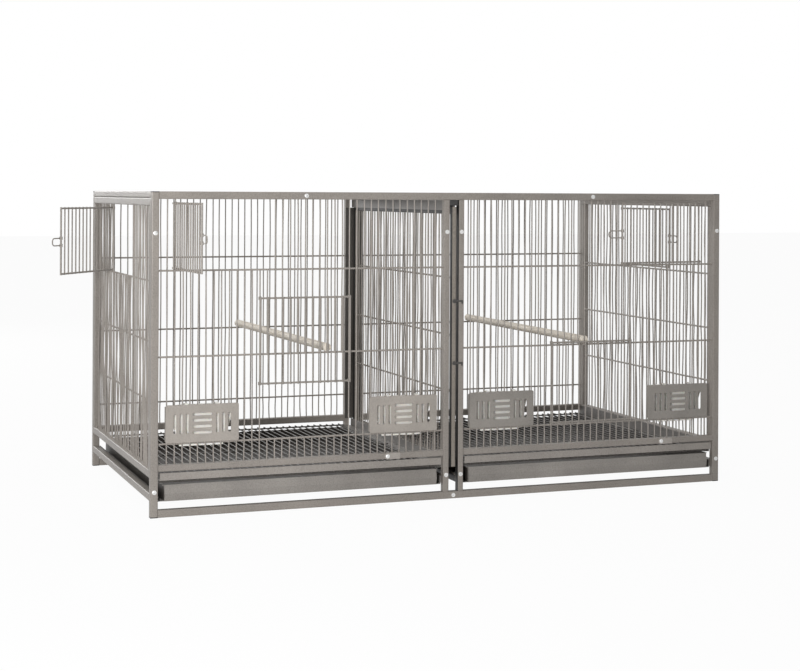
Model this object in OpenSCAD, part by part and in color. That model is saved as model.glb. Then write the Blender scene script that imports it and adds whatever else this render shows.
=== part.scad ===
// Divided breeding cage: a welded tube frame with wire walls, two compartments
// side by side, and a pull-out divider between them. The origin is the middle of
// the front bottom rail's underside. X runs to the right, Y to the back, Z up.

/* [Cage] */
// Overall width
cage_w = 1016; // [960:1:1100]
// Depth from front face to back face
cage_d = 525; // [500:1:560]
// Overall height
cage_h = 508; // [500:1:560]
// Side of the main square tube
tube = 12; // [11:0.5:14]
// Side of the slimmer tube of centre posts, end tubes and roof
slim_tube = 10; // [9:0.5:10.5]
// Wall of every tube
tube_wall = 1; // [0.8:0.1:1.4]
// Width of the slot between the centre posts
divider_slot = 16; // [15:0.5:20]

/* [Rail heights] */
// Underside of the front floor rail
floor_rail_z = 71.5; // [70:0.5:74]
// Height of the front floor rail's tube
floor_rail_h = 10; // [9:0.5:12]
// Underside of the side and back floor rails
side_rail_z = 61; // [59:0.5:66]
// Underside of the rails that carry the tray runners
runner_rail_z = 25; // [22:0.5:28]
// Joint line between the roof frame and the side panels
roof_joint = 0.5; // [0.3:0.1:1]

/* [Wires] */
// Spacing of the wires
pitch = 12.5; // [11.5:0.1:13.5]
// Thickness of the thin wires
thin_wire = 2.2; // [1.8:0.1:2.6]
// Thickness of the wires that cross them
cross_wire = 3; // [2.6:0.1:3.4]
// Depth that two crossing wires are welded into each other
weld = 0.3; // [0.2:0.05:0.4]
// Least space between a frame tube and the first wire
wire_margin = 12; // [10:0.5:13.5]
// Number of cross wires under the roof and the grates
cross_rows = 5; // [4:1:7]

/* [Front wall] */
// Height of the gate sill
sill_z = 113; // [105:1:116]
// Height of the gate head
gate_head_z = 249; // [240:1:258]
// Height of the nest door sill
nest_sill_z = 384; // [376:1:392]
// Wire spaces across a gate
gate_cells = 12; // [10:1:14]
// Wire spaces across a front nest door
nest_cells = 13; // [11:1:14]
// Wire spaces across a feeder opening
feeder_cells = 9; // [8:1:10]
// Height of a feeder opening
feeder_h = 59; // [54:1:64]

/* [Side walls] */
// Heights of the lower, middle and upper side wires
side_low_z = 176; // [168:1:184]
side_mid_z = 270; // [262:1:278] middle wire
side_top_z = 366; // [356:1:376] upper wire, sill of the side door
// Wire spaces across a side door
side_door_cells = 14; // [12:1:16]
// Wire spaces from the front to a side door
side_door_start = 11; // [9:1:12]

/* [Doors and gates] */
// Distance from the wall's wires to the middle of a door's frame wires
door_standoff = 3.4; // [3.2:0.1:4]
// Thickness of a door's upright edge wires
edge_wire = 3.2; // [3.1:0.05:3.6]
// How far a door's upright wires pass its top and bottom wires
door_lap = 2; // [1.6:0.1:2.4]
// How far a door's edge wire stands past its opening's last wire
door_over = 4; // [3:0.5:5]
// How far a gate's level wires pass its border wires
gate_over = 2; // [1.5:0.1:2.5]
// Angle at which the left nest door stands open
nest_open = 88; // [60:1:120]
// Angle at which the right nest door stands ajar
nest_ajar = 7; // [0:1:20]
// Angle at which the side door stands open
side_open = 38; // [20:1:80]
// Height at which the raised gate stands
gate_lift = 85; // [40:5:110]
// Radial room of a hinge on its wire
hinge_gap = 0.08; // [0.05:0.01:0.1]
// Radial room of an eye that slides on a wire
slide_gap = 0.3; // [0.2:0.05:0.4]
// Wall of hinge eyes and slide eyes
eye_wall = 1; // [0.8:0.1:1.4]
// Length of an eye
eye_h = 5; // [4:0.5:6]
// Length of the latch loop on a door
loop_l = 26; // [20:1:28]
// Height of the latch loop on a door
loop_h = 12; // [10:0.5:14]
// Thickness of the latch loop's wire
loop_wire = 2; // [1.8:0.1:2.2]

/* [Feeders] */
// Thickness of a feeder plate
plate_t = 1; // [0.8:0.1:1.5]
// Room between a feeder plate's hem and its wires
plate_gap = 0.4; // [0.3:0.05:0.5]
// Distance from the wall's wires to the back of a feeder plate
plate_standoff = 4; // [3.5:0.1:4.6]
// Corner radius of a feeder plate
plate_r = 2.5; // [2:0.5:4]
// Width of the slots in a feeder plate
slot_w = 4.6; // [3.6:0.1:5]
// Length of the slots in a feeder plate
slot_l = 31; // [26:1:34]
// Spacing of the upright slots
slot_pitch = 9.8; // [9:0.1:10.5]
// Spacing of the level slots
slot_row = 9.6; // [8:0.1:11]
// Distance from a plate's side to its first upright slot
slot_margin = 12.6; // [10:0.1:14]
// Depth of a feed cup, front to back
cup_d = 42; // [36:1:48]
// Height of a feed cup
cup_h = 60; // [56:1:66]
// Wall of a feed cup
cup_wall = 2; // [1.5:0.1:2.5]
// Width of a feed cup's floor as a part of its rim's
cup_taper = 0.65; // [0.6:0.01:0.8]
// How much narrower a cup is than its plate, on each side
cup_inset = 5; // [4:0.5:8]
// Width that each side of a cup loses per unit of depth, seen from above
cup_splay = 0.6; // [0.4:0.05:0.7]
// Radius of a cup's back corners
cup_r = 8; // [6:0.5:10]

/* [Trays and grates] */
// Height of a tray
tray_h = 25.5; // [22:0.5:26]
// Room between a tray and the frame on each side
tray_side_gap = 11; // [8:0.5:12]
// Thickness of the tray's sheet
tray_t = 1; // [0.8:0.1:1.5]
// How far the tray's bent front stands forward
tray_bulge = 5; // [3:0.5:5]
// Height of the foremost line of the tray's front
tray_belly = 12; // [9:0.5:13]
// Height of the upright lip along the tray's front
tray_lip = 4.3; // [3.5:0.1:5]
// How far the lip stands forward
tray_fold = 2.4; // [1.8:0.1:2.6]
// Thickness of runners, ledges and guides
sheet = 1.2; // [1:0.1:1.6]
// How far a tray sits on its runner
tray_bearing = 11; // [8:0.5:14]
// How far a grate sits on its ledge
grate_bearing = 7; // [5:0.5:9]
// Height of the ledges under the grates
ledge_z = 52.5; // [51.5:0.1:53]
// Room between a sliding piece and its seat
seat_gap = 0.2; // [0.1:0.05:0.3]
// Room between a grate and the frame on each side
grate_side_gap = 3; // [2:0.5:4]
// Height of the strip across the front of a grate
strip_h = 11.3; // [8:0.1:12]
// Depth of the strip's foot, which lies on the grate
strip_foot = 10; // [8:0.5:12]
// Spacing of the two pull clips on a grate strip
clip_span = 102; // [80:1:140]

/* [Divider] */
// Thickness of the divider frame
divider_t = 8; // [6:0.5:10]
// Height of the divider's top and bottom rails
divider_rail = 12; // [8:0.5:14]
// Room between the divider and its guides
divider_gap = 0.5; // [0.3:0.1:1]
// Top of the divider below the cage's top
divider_drop = 23.5; // [21:0.5:28]
// Room behind the divider when it is in
divider_rest = 7; // [4:0.5:10]
// Height of the guide lips on the sill
guide_lip = 14; // [8:0.5:16]
// Heights of the two divider hooks
hook_low_z = 225; // [200:1:240]
hook_high_z = 328; // [300:1:350] upper hook
// Length of a divider hook
hook_l = 15; // [13:0.5:18]
// Width of a divider hook
hook_w = 3; // [2.4:0.1:3.2]
// Thickness of a divider hook
hook_t = 1.5; // [1.2:0.1:1.8]

/* [Perches] */
// Diameter of a perch
perch_d = 13; // [12:0.5:15]
// Width of the saw cut in a perch's ends
perch_slot = 3.2; // [3:0.1:4]
// How far the saw cut passes the wire
perch_cut = 3; // [2.5:0.1:4]
// How far a perch's ends pass the wires
perch_out = 1.2; // [0.8:0.1:1.4]
// Wire that holds the left perch at the front, counted from the outer end
left_perch_front = 21; // [20:1:24]
// Wire that holds the left perch at the back
left_perch_back = 20; // [18:1:24]
// Wire that holds both ends of the right perch
right_perch_wire = 19; // [18:1:24]

/* [Turning latches and screws] */
// Length of a turning latch past its rivet
blade_l = 22; // [18:1:26]
// Width of a turning latch
blade_w = 10.6; // [8:0.1:11]
// Thickness of a turning latch
blade_t = 1.5; // [1.2:0.1:2]
// Place of a latch's rivet across its half of the cage, from the half's left side
latch_share = 0.77; // [0.74:0.01:0.8]
// Diameter of the rivets' and screws' shanks
shank_d = 4; // [3:0.1:4.5]
// Diameter of the rivets' and screws' heads
head_d = 7; // [6.5:0.1:8]
// Height of the lower screws in the posts
low_screw_z = 40; // [39:1:56]
// Height of the upper screws in the posts
high_screw_z = 443; // [420:1:455]

/* [Hidden] */

round_fn = 32;                                   // facets of round pieces
flat = cos(22.5);                                // across flats over across corners

// frame
front_y = -tube / 2;                             // front face; wires stand at y = 0
back_y = front_y + cage_d;                       // back face
back_wire_y = back_y - tube / 2;
inner_back_y = back_y - tube;
half_w = cage_w / 2;
post_x = half_w - tube;                          // inner face of an outer post
side_wire_x = half_w - tube / 2;
mid_x = divider_slot / 2 + slim_tube;            // outer face of a centre post
top_z = cage_h - tube;                           // underside of the top rails
roof_z = cage_h - slim_tube;
side_top_rail_z = roof_z - roof_joint - tube;
plug_t = 1.5;                                    // plate of a post plug
plug_stub = 6;                                   // how far a plug reaches into its post
plug_w = tube - 2 * tube_wall - 2 * seat_gap;    // width of a plug inside its post
tube_r = 1.6;                                    // corner radius of the tubes

// wires across one compartment, counted from the outer end
bay_w = post_x - mid_x;
last_wire = floor((bay_w - 2 * wire_margin) / pitch);
first_x = -post_x + (bay_w - last_wire * pitch) / 2;
function wire_x(i) = first_x + i * pitch;
gate_first = floor((last_wire - gate_cells) / 2);
gate_last = gate_first + gate_cells;
nest_first = 1;
nest_last = nest_first + nest_cells;
feeder_starts = [0, last_wire - feeder_cells];
feeder_top_z = sill_z + feeder_h;
wall_foot_z = floor_rail_z + floor_rail_h;       // foot of the front wires
side_foot_z = side_rail_z + tube;                // foot of the side and back wires
cross_y = (thin_wire + cross_wire) / 2 - weld;   // cross wires, inside the thin ones

// wires along a side
end_y = tube / 2 + slim_tube;                    // inner face of a side's end tube
side_bay = inner_back_y - slim_tube - end_y;
side_last = floor((side_bay - 2 * wire_margin) / pitch);
first_y = end_y + (side_bay - side_last * pitch) / 2;
function wire_y(j) = first_y + j * pitch;
side_hinge = side_door_start + side_door_cells;

// doors
door_wire_y = door_standoff + (cross_wire + thin_wire) / 2 - weld;
eye_r = thin_wire / 2 / flat;                    // corner radius of a thin wire

// trays, grates and their supports
runner_top = runner_rail_z - 0.5;
tray_z = runner_top + seat_gap;
grate_cross_z = ledge_z + seat_gap + cross_wire / 2;
grate_wire_z = grate_cross_z + (cross_wire + thin_wire) / 2 - weld;
grate_top = grate_wire_z + thin_wire / 2;
strip_y = front_y + 1;

// divider
divider_z = ledge_z + seat_gap;
divider_top = cage_h - divider_drop;
guide_x = divider_t / 2 + divider_gap;
divider_back = inner_back_y - divider_rest;

// feeder plates and cups
plate_w = feeder_cells * pitch + thin_wire + 2 * (plate_gap + plate_t);
plate_z0 = sill_z + cross_wire / 2 + 0.5;
cup_w = plate_w - 2 * cup_inset;

perch_z = gate_head_z + cross_wire / 2 + perch_d / 2 + seat_gap;
rivet_z = floor_rail_z + floor_rail_h / 2;
rivet_x = [latch_share - 1, latch_share] * half_w; // left and right latch

steel = [0.55, 0.53, 0.50];
dark_steel = [0.40, 0.39, 0.37];
screw_white = [0.92, 0.92, 0.90];
ivory = [0.93, 0.91, 0.86];
pine = [0.86, 0.76, 0.60];

// ---------- shared shapes ----------

// Outline of a w by h rectangle with corners of radius r, centred
function round_rect(w, h, r, n = 3) =
    [for (c = [0:3], k = [0:n])
        let (a = 90 * (c + k / n),
             x = (c == 0 || c == 3 ? 1 : -1) * (w / 2 - r),
             y = (c < 2 ? 1 : -1) * (h / 2 - r))
        [x + r * cos(a), y + r * sin(a)]];

// Cross-section of a hollow tube
module tube_section(w, h) {
    difference() {
        polygon(round_rect(w, h, tube_r));
        square([w - 2 * tube_wall, h - 2 * tube_wall], center = true);
    }
}

// Hollow tube from a low corner, along one axis
module tube_along(axis, at, l, w, h) {
    if (axis == "x")
        translate(at + [0, w / 2, h / 2]) rotate([90, 0, 90]) linear_extrude(l) tube_section(w, h);
    if (axis == "y")
        translate(at + [w / 2, 0, h / 2]) rotate([-90, 0, 0]) linear_extrude(l) tube_section(w, h);
    if (axis == "z")
        translate(at + [w / 2, h / 2, 0]) linear_extrude(l) tube_section(w, h);
}

// Wire drawn to flats, from a point along one axis
module wire_along(axis, at, l, d) {
    turn = axis == "x" ? [0, 90, 0] : axis == "y" ? [-90, 0, 0] : [0, 0, 0];
    translate(at) rotate(turn) rotate(22.5) cylinder(d = d / flat, h = l, $fn = 8);
}

// Round wire or pin, from a point along one axis
module round_along(axis, at, l, d) {
    turn = axis == "x" ? [0, 90, 0] : axis == "y" ? [-90, 0, 0] : [0, 0, 0];
    translate(at) rotate(turn) cylinder(d = d, h = l, $fn = round_fn);
}

// The same piece in the right-hand compartment when side is 1
module on_side(side) {
    mirror([side > 0 ? 1 : 0, 0, 0]) children();
}

// Box given by two corners
module block(a, b) {
    translate(a) cube(b - a);
}

// ---------- frame ----------

// Places of the screws: x, z on the front and back faces
screw_places = concat(
    [for (s = [-1, 1], z = [low_screw_z, high_screw_z]) [s * side_wire_x, z]],
    [for (s = [-1, 1], z = [low_screw_z, high_screw_z]) [s * (mid_x - slim_tube / 2), z]],
    [for (s = [-1, 1]) [s * (mid_x + bay_w / 2), cage_h - tube / 2]],
    [[0, tube / 2]]);

// Holes of the screws in a front or back wall
module screw_holes(y) {
    for (p = screw_places)
        round_along("y", [p[0], y - 0.5, p[1]], tube_wall + 1, shank_d + 0.2);
}

// Outer and centre posts of the front or back
module posts(y) {
    for (s = [-1, 1]) {
        tube_along("z", [s * side_wire_x - tube / 2, y, plug_t], cage_h - 2 * plug_t, tube, tube);
        tube_along("z", [s * (mid_x - slim_tube / 2) - slim_tube / 2, y, tube], top_z - tube,
                   slim_tube, tube);
    }
}

module front_posts() color(steel) difference() {
    posts(front_y);
    screw_holes(front_y);
}

module back_posts() color(steel) difference() {
    posts(inner_back_y);
    screw_holes(back_y - tube_wall);
}

// Rails of the front or back, with floor rails of height h at height z
module rails(y, z, h) {
    for (level = [0, top_z])
        tube_along("x", [-post_x, y, level], 2 * post_x, tube, tube);
    for (x = [-post_x, mid_x])
        tube_along("x", [x, y, z], bay_w, tube, h);
}

module front_rails() color(steel) difference() {
    rails(front_y, floor_rail_z, floor_rail_h);
    screw_holes(front_y);
    for (x = rivet_x)
        round_along("y", [x, front_y - 0.5, rivet_z], tube_wall + 1, shank_d + 0.2);
}

module back_rails() color(steel) difference() {
    rails(inner_back_y, side_rail_z, tube);
    screw_holes(back_y - tube_wall);
}

// Rails of a side panel, and the rail below it that carries a tray runner
module side_rails(side) color(steel) on_side(side)
    for (z = [side_top_rail_z, side_rail_z, runner_rail_z])
        tube_along("y", [-half_w, tube / 2, z], inner_back_y - tube / 2, tube, tube);

// Uprights at the ends of the side panels
module side_uprights() color(steel) for (s = [-1, 1], y = [tube / 2, inner_back_y - slim_tube])
    on_side(s) tube_along("z", [-half_w, y, side_foot_z], side_top_rail_z - side_foot_z,
                          tube, slim_tube);

// Sides of the roof panel, which is set between the front and back top rails
module roof_rails() color(steel) for (x = [-half_w, half_w - tube])
    tube_along("y", [x, tube / 2, roof_z], inner_back_y - tube / 2, tube, slim_tube);

// Front and back bars of the roof panel
module roof_bars() color(steel) for (y = [tube / 2, inner_back_y - slim_tube])
    tube_along("x", [-post_x, y, roof_z], 2 * post_x, slim_tube, slim_tube);

// Plastic plugs in the ends of the corner posts
module post_plugs() color(dark_steel)
    for (s = [-1, 1], y = [front_y, inner_back_y], up = [0, 1])
        translate([s * side_wire_x, y + tube / 2, up * cage_h]) mirror([0, 0, up]) {
            linear_extrude(plug_t) polygon(round_rect(tube, tube, tube_r));
            translate([0, 0, plug_stub / 2]) cube([plug_w, plug_w, plug_stub], center = true);
        }

// Pan-head screw with its head towards -Y
module screw() {
    rotate([-90, 0, 0]) cylinder(d = shank_d, h = tube_wall + 6, $fn = round_fn);
    rotate([90, 0, 0]) cylinder(d = head_d, h = 1.2, $fn = round_fn);
    translate([0, -1.2, 0]) rotate([90, 0, 0])
        cylinder(d1 = head_d, d2 = head_d * 0.6, h = 0.9, $fn = round_fn);
}

module frame_screws() color(screw_white) for (p = screw_places) {
    translate([p[0], front_y, p[1]]) screw();
    translate([p[0], back_y, p[1]]) mirror([0, 1, 0]) screw();
}

module latch_rivets() color(screw_white) for (x = rivet_x)
    translate([x, front_y - blade_t - 2 * seat_gap, rivet_z]) screw();

// ---------- wire walls ----------

// Upright stretches of one front wire, as pairs of heights
function in_feeder(i) = len([for (f = feeder_starts) if (i > f && i < f + feeder_cells) f]) > 0;
function front_stretches(i) =
    let (in_gate = i > gate_first && i < gate_last,
         in_nest = i > nest_first && i < nest_last,
         foot = in_gate ? gate_head_z : in_feeder(i) ? feeder_top_z : wall_foot_z,
         head = in_nest ? nest_sill_z + cross_wire / 2 : top_z)
    concat(in_gate || in_feeder(i) ? [[wall_foot_z, sill_z + cross_wire / 2]] : [],
           [[foot == wall_foot_z ? foot : foot - cross_wire / 2, head]]);

module front_grille(side) color(steel) on_side(side) {
    for (i = [0:last_wire], s = front_stretches(i))
        if (i == nest_first)
            round_along("z", [wire_x(i), 0, s[0]], s[1] - s[0], thin_wire / flat);
        else
            wire_along("z", [wire_x(i), 0, s[0]], s[1] - s[0], thin_wire);
    for (z = [sill_z, gate_head_z, nest_sill_z])
        wire_along("x", [-post_x, cross_y, z], bay_w, cross_wire);
    for (f = feeder_starts)
        wire_along("x", [wire_x(f), cross_y, feeder_top_z], feeder_cells * pitch, cross_wire);
}

module back_grille(side) color(steel) on_side(side) {
    for (i = [0:last_wire])
        wire_along("z", [wire_x(i), back_wire_y, side_foot_z], top_z - side_foot_z, thin_wire);
    for (z = [sill_z, gate_head_z, nest_sill_z])
        wire_along("x", [-post_x, back_wire_y - cross_y, z], bay_w, cross_wire);
}

module side_grille(side) color(steel) on_side(side) {
    for (j = [0:side_last]) {
        head = j > side_door_start && j < side_hinge ? side_top_z + cross_wire / 2 : side_top_rail_z;
        if (j == side_hinge)
            round_along("z", [-side_wire_x, wire_y(j), side_foot_z], head - side_foot_z,
                        thin_wire / flat);
        else
            wire_along("z", [-side_wire_x, wire_y(j), side_foot_z], head - side_foot_z, thin_wire);
    }
    for (z = [side_low_z, side_mid_z, side_top_z])
        wire_along("y", [-side_wire_x + cross_y, end_y, z], side_bay, cross_wire);
}

module roof_grille() color(steel) {
    span = 2 * post_x;
    count = floor((span - 2 * wire_margin) / pitch);
    x0 = -count * pitch / 2;
    for (i = [0:count])
        wire_along("y", [x0 + i * pitch, end_y, roof_z + slim_tube / 2], side_bay, thin_wire);
    for (k = [1:cross_rows - 2])
        wire_along("x", [-post_x, end_y + k * side_bay / (cross_rows - 1),
                         roof_z + slim_tube / 2 - cross_y], span, cross_wire);
}

// ---------- supports under the floor ----------

// Two tubes between the front and back centre posts
module centre_rails() color(dark_steel) for (s = [-1, 1])
    tube_along("y", [s * (mid_x - slim_tube / 2) - slim_tube / 2, tube / 2, runner_rail_z],
               inner_back_y - tube / 2, slim_tube, tube);

// Angle strip against the plane x = 0, with its foot under z = 0 reaching to +X
module angle_strip(foot, rise) {
    block([0, tube / 2, -sheet], [sheet, inner_back_y, rise]);
    block([0, tube / 2, -sheet], [foot, inner_back_y, 0]);
}

module tray_runners() color(dark_steel) for (s = [-1, 1]) on_side(s) {
    foot = tray_side_gap + tray_bearing;
    rise = runner_rail_z + tube - runner_top;
    translate([-post_x, 0, runner_top]) angle_strip(foot, rise);
    translate([-mid_x, 0, runner_top]) mirror([1, 0, 0]) angle_strip(foot, rise);
}

module grate_ledges() color(dark_steel) for (s = [-1, 1]) on_side(s)
    translate([-post_x, 0, ledge_z])
        angle_strip(grate_side_gap + grate_bearing, side_foot_z - 2 - ledge_z);

// Channel that guides the divider's foot and carries the inner edges of the grates
module divider_sill() color(dark_steel) {
    edge = mid_x + grate_side_gap + grate_bearing;
    block([-edge, tube / 2, ledge_z - sheet], [edge, inner_back_y, ledge_z]);
    for (s = [-1, 1]) on_side(s)
        block([-guide_x - sheet, tube / 2, ledge_z - sheet],
              [-guide_x, inner_back_y, ledge_z + guide_lip]);
}

// Channel that guides the divider's top
module divider_top_guide() color(dark_steel) {
    block([-mid_x, tube / 2, top_z - sheet], [mid_x, inner_back_y, top_z]);
    for (s = [-1, 1]) on_side(s)
        block([-guide_x - sheet, tube / 2, divider_top - 6], [-guide_x, inner_back_y, top_z]);
}

// ---------- trays and grates ----------

// Section of the tray's bent front, from the pan's front wall forwards
module tray_front_section(inset) {
    polygon([[0, inset], [0, tray_h - inset], [inset - tray_fold, tray_h - inset],
             [inset - tray_fold, tray_h - tray_lip], [inset * 1.2 - tray_bulge, tray_belly],
             [inset * 1.2 - tray_fold, inset]]);
}

module tray(side) color(steel) on_side(side) {
    x0 = -post_x + tray_side_gap;
    w = bay_w - 2 * tray_side_gap;
    translate([x0, 0, tray_z]) {
        difference() {
            cube([w, inner_back_y - 2, tray_h]);
            translate([tray_t, tray_t, tray_t])
                cube([w - 2 * tray_t, inner_back_y - 2 - 2 * tray_t, tray_h]);
        }
        for (x = [-3, w - tray_t])
            block([x, 0, tray_h - tray_t], [x + 3 + tray_t, inner_back_y - 2, tray_h]);
        rotate([90, 0, 90]) linear_extrude(w) difference() {
            tray_front_section(0);
            tray_front_section(tray_t);
        }
    }
}

module grate(side) color(dark_steel) on_side(side) {
    x0 = -post_x + grate_side_gap;
    w = bay_w - 2 * grate_side_gap;
    back = inner_back_y - 3;
    for (i = [0:last_wire])
        wire_along("y", [wire_x(i), strip_y + 0.6, grate_wire_z], back - strip_y - 0.6, thin_wire);
    for (k = [0:cross_rows - 1])
        wire_along("x", [x0, 4 + k * (back - 6) / (cross_rows - 1), grate_cross_z], w, cross_wire);
}

module grate_strip(side) color(steel) on_side(side) {
    x0 = -post_x + grate_side_gap;
    x1 = -mid_x - grate_side_gap;
    block([x0, strip_y, grate_top], [x1, strip_y + sheet, grate_top + strip_h]);
    block([x0, strip_y, grate_top], [x1, strip_y + strip_foot, grate_top + sheet]);
    for (s = [-1, 1])
        translate([(x0 + x1) / 2 + s * clip_span / 2, strip_y + 0.2, grate_top + 1])
            rotate([90, 0, 0]) linear_extrude(1) polygon([[-5, 0], [5, 0], [1, 5.5], [-1, 5.5]]);
}

// ---------- divider ----------

divider_front = front_y + 1;
divider_room = divider_back - divider_front - 2 * slim_tube;

module divider_posts() color(steel) for (y = [divider_front, divider_back - slim_tube])
    tube_along("z", [-divider_t / 2, y, divider_z], divider_top - divider_z, divider_t, slim_tube);

module divider_rails() color(steel) for (z = [divider_z, divider_top - divider_rail])
    tube_along("y", [-divider_t / 2, divider_front + slim_tube, z], divider_room,
               divider_t, divider_rail);

module divider_grille() color(steel) {
    count = floor((divider_room - 2 * wire_margin) / pitch);
    y0 = divider_front + slim_tube + (divider_room - count * pitch) / 2;
    foot = divider_z + divider_rail;
    for (j = [0:count])
        wire_along("z", [-0.8, y0 + j * pitch, foot], divider_top - divider_rail - foot, thin_wire);
    for (z = [side_low_z, side_mid_z, side_top_z])
        wire_along("y", [-0.8 + cross_y, divider_front + slim_tube, z], divider_room, cross_wire);
}

hook_pin_d = 3;
hook_y = front_y - 0.5;                          // back of a hook, clear of the post
hook_tip = 2;                                    // thickness of a hook's bent end
hook_drop = 3;                                   // how far the bent end reaches down
module divider_hook_pins() color(dark_steel) for (z = [hook_low_z, hook_high_z]) {
    head_y = hook_y - hook_t - seat_gap;
    translate([0, divider_front, z]) rotate([90, 0, 0])
        cylinder(d = hook_pin_d, h = divider_front - head_y + 0.5, $fn = round_fn);
    translate([0, head_y, z]) rotate([90, 0, 0])
        cylinder(d = 2 * hook_pin_d, h = 1, $fn = round_fn);
}

module divider_hook(z) color(dark_steel) translate([0, hook_y, z]) rotate([90, 0, 0]) difference() {
    union() {
        cylinder(d = 2 * hook_w + 0.4, h = hook_t, $fn = round_fn);
        translate([0, -hook_w / 2, 0]) cube([hook_l, hook_w, hook_t]);
        translate([hook_l - hook_tip, -hook_w / 2 - hook_drop, 0])
            cube([hook_tip, hook_w + hook_drop, hook_t]);
    }
    translate([0, 0, -1]) cylinder(d = hook_pin_d + 2 * hinge_gap, h = hook_t + 2, $fn = round_fn);
}

// ---------- feeders ----------

// Slotted plate that slides up on the two border wires of its opening
module feeder_plate(side, start) color(steel) on_side(side) {
    mid = wire_x(start) + feeder_cells * pitch / 2;
    group = plate_w / 2 - slot_margin - slot_w / 2;
    translate([mid, -plate_standoff, plate_z0 + feeder_h / 2]) rotate([90, 0, 0])
        linear_extrude(plate_t) difference() {
            polygon(round_rect(plate_w, feeder_h, plate_r));
            for (s = [-1, 1], k = [0:2])
                translate([s * (group - k * slot_pitch), 0])
                    polygon(round_rect(slot_w, slot_l, slot_w * 0.49));
            for (k = [0:3])
                translate([0, (k - 1.5) * slot_row])
                    polygon(round_rect(slot_l, slot_w, slot_w * 0.49));
        }
    for (s = [-1, 1]) translate([mid, 0, plate_z0]) mirror([s > 0 ? 1 : 0, 0, 0]) {
        block([-plate_w / 2, -plate_standoff - plate_t, plate_r],
              [-plate_w / 2 + plate_t, thin_wire / 2 + plate_gap + plate_t, feeder_h - plate_r]);
        block([-plate_w / 2, thin_wire / 2 + plate_gap, plate_r],
              [-plate_w / 2 + plate_t + plate_gap + thin_wire * 0.38,
               thin_wire / 2 + plate_gap + plate_t, feeder_h - plate_r]);
    }
}

// Plan of a cup at its rim: straight front at y = 0, sides drawn in, round back corners
module cup_plan() {
    lean = atan(cup_splay);
    corner = [cup_w / 2 - cup_splay * (cup_d - cup_r) - cup_r / cos(lean), cup_d - cup_r];
    arc = [for (k = [0:4]) let (a = lean + (90 - lean) * k / 4) corner + cup_r * [cos(a), sin(a)]];
    polygon(concat([[-cup_w / 2, 0], [cup_w / 2, 0]], arc,
                   [for (k = [4:-1:0]) [-arc[k][0], arc[k][1]]]));
}

// Open cup inside the wall, hung by two hooks on the head wire of its opening
module feed_cup(side, start) color(ivory) on_side(side) {
    mid = wire_x(start) + feeder_cells * pitch / 2;
    front = cross_y + cross_wire / 2 + plate_gap;
    rim_z = feeder_top_z - cross_wire / 2 - 2;
    translate([mid, front, rim_z - cup_h]) difference() {
        linear_extrude(cup_h, scale = 1 / cup_taper) scale(cup_taper) cup_plan();
        translate([0, 0, cup_wall]) linear_extrude(cup_h, scale = 1 / cup_taper)
            offset(delta = -cup_wall) scale(cup_taper) cup_plan();
    }
    for (k = [2, feeder_cells - 3]) translate([wire_x(start) + (k + 0.5) * pitch, 0, 0]) {
        seat = feeder_top_z + cross_wire / 2 + seat_gap;
        block([-3, front, rim_z - 6], [3, front + 3, seat + 2]);
        block([-3, -1.3, seat], [3, front + 3, seat + 2]);
        block([-3, -1.3, seat - 3], [3, 0.3, seat + 2]);
    }
}

// ---------- gates and doors ----------

// Eye round an upright wire at the origin
module eye(wire_r, room) {
    difference() {
        cylinder(r = wire_r + room + eye_wall, h = eye_h, center = true, $fn = round_fn);
        cylinder(r = wire_r + room, h = eye_h + 1, center = true, $fn = round_fn);
    }
}

// Gate that slides up in front of its opening on eyes round the border wires
module gate(side, lift) color(steel) on_side(side) translate([0, 0, lift]) {
    z0 = sill_z + cross_wire / 2 + eye_h / 2 + 0.5;
    z1 = gate_head_z + cross_wire / 2 + eye_h / 2 + 0.5;
    x0 = wire_x(gate_first);
    for (z = [z0, z1])
        wire_along("x", [x0 - gate_over, -door_standoff, z], gate_cells * pitch + 2 * gate_over,
                   cross_wire);
    for (i = [gate_first:gate_last])
        wire_along("z", [wire_x(i), -door_wire_y, z0 - door_lap], z1 - z0 + 2 * door_lap,
                   thin_wire);
    for (z = [z0, z1], i = [gate_first, gate_last])
        translate([wire_x(i), 0, z]) eye(eye_r, slide_gap);
}

// Flat wire door over a sill wire at height sill, its hinge wire at the origin and
// the door reaching to +X in front of y = 0
module wire_door(cells, sill, top) {
    w = cells * pitch + door_over;
    rows = [sill + cross_wire / 2 + 0.5 + eye_h / 2, top - eye_h / 2];
    foot = rows[0] - door_lap;
    rise = rows[1] + door_lap - foot;
    for (z = rows) {
        wire_along("x", [-1, -door_standoff, z], w + 1, cross_wire);
        translate([0, 0, z]) eye(eye_r, hinge_gap);
    }
    for (k = [1:cells])
        wire_along("z", [k * pitch, -door_wire_y, foot], rise, thin_wire);
    round_along("z", [w, -door_standoff, foot], rise, edge_wire);
}

// Latch loop that swivels on a door's edge wire at the origin, reaching to +X
module door_loop() {
    bend = loop_h / 2;
    for (s = [-1, 1]) {
        round_along("x", [edge_wire / 2 + hinge_gap + 0.4, 0, s * bend], loop_l - bend,
                    loop_wire);
        translate([0, 0, s * bend]) eye(edge_wire / 2, hinge_gap);
    }
    translate([edge_wire / 2 + hinge_gap + 0.4 + loop_l - bend, 0, 0]) rotate([90, 0, 0])
        rotate([0, 0, -90]) rotate_extrude(angle = 180, $fn = 48)
            translate([bend, 0]) circle(d = loop_wire, $fn = 16);
}

nest_z1 = top_z - 4;
side_z1 = side_top_rail_z - 4;

// Door or loop of a front nest opening, turned open by an angle
module at_nest_hinge(side, angle) {
    on_side(side) translate([wire_x(nest_first), 0, 0]) rotate(-angle) children();
}

// Door or loop of a side opening, turned open by an angle
module at_side_hinge(side, angle) {
    on_side(side) translate([-side_wire_x, wire_y(side_hinge), 0])
        rotate(-90 - angle) children();
}

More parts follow.
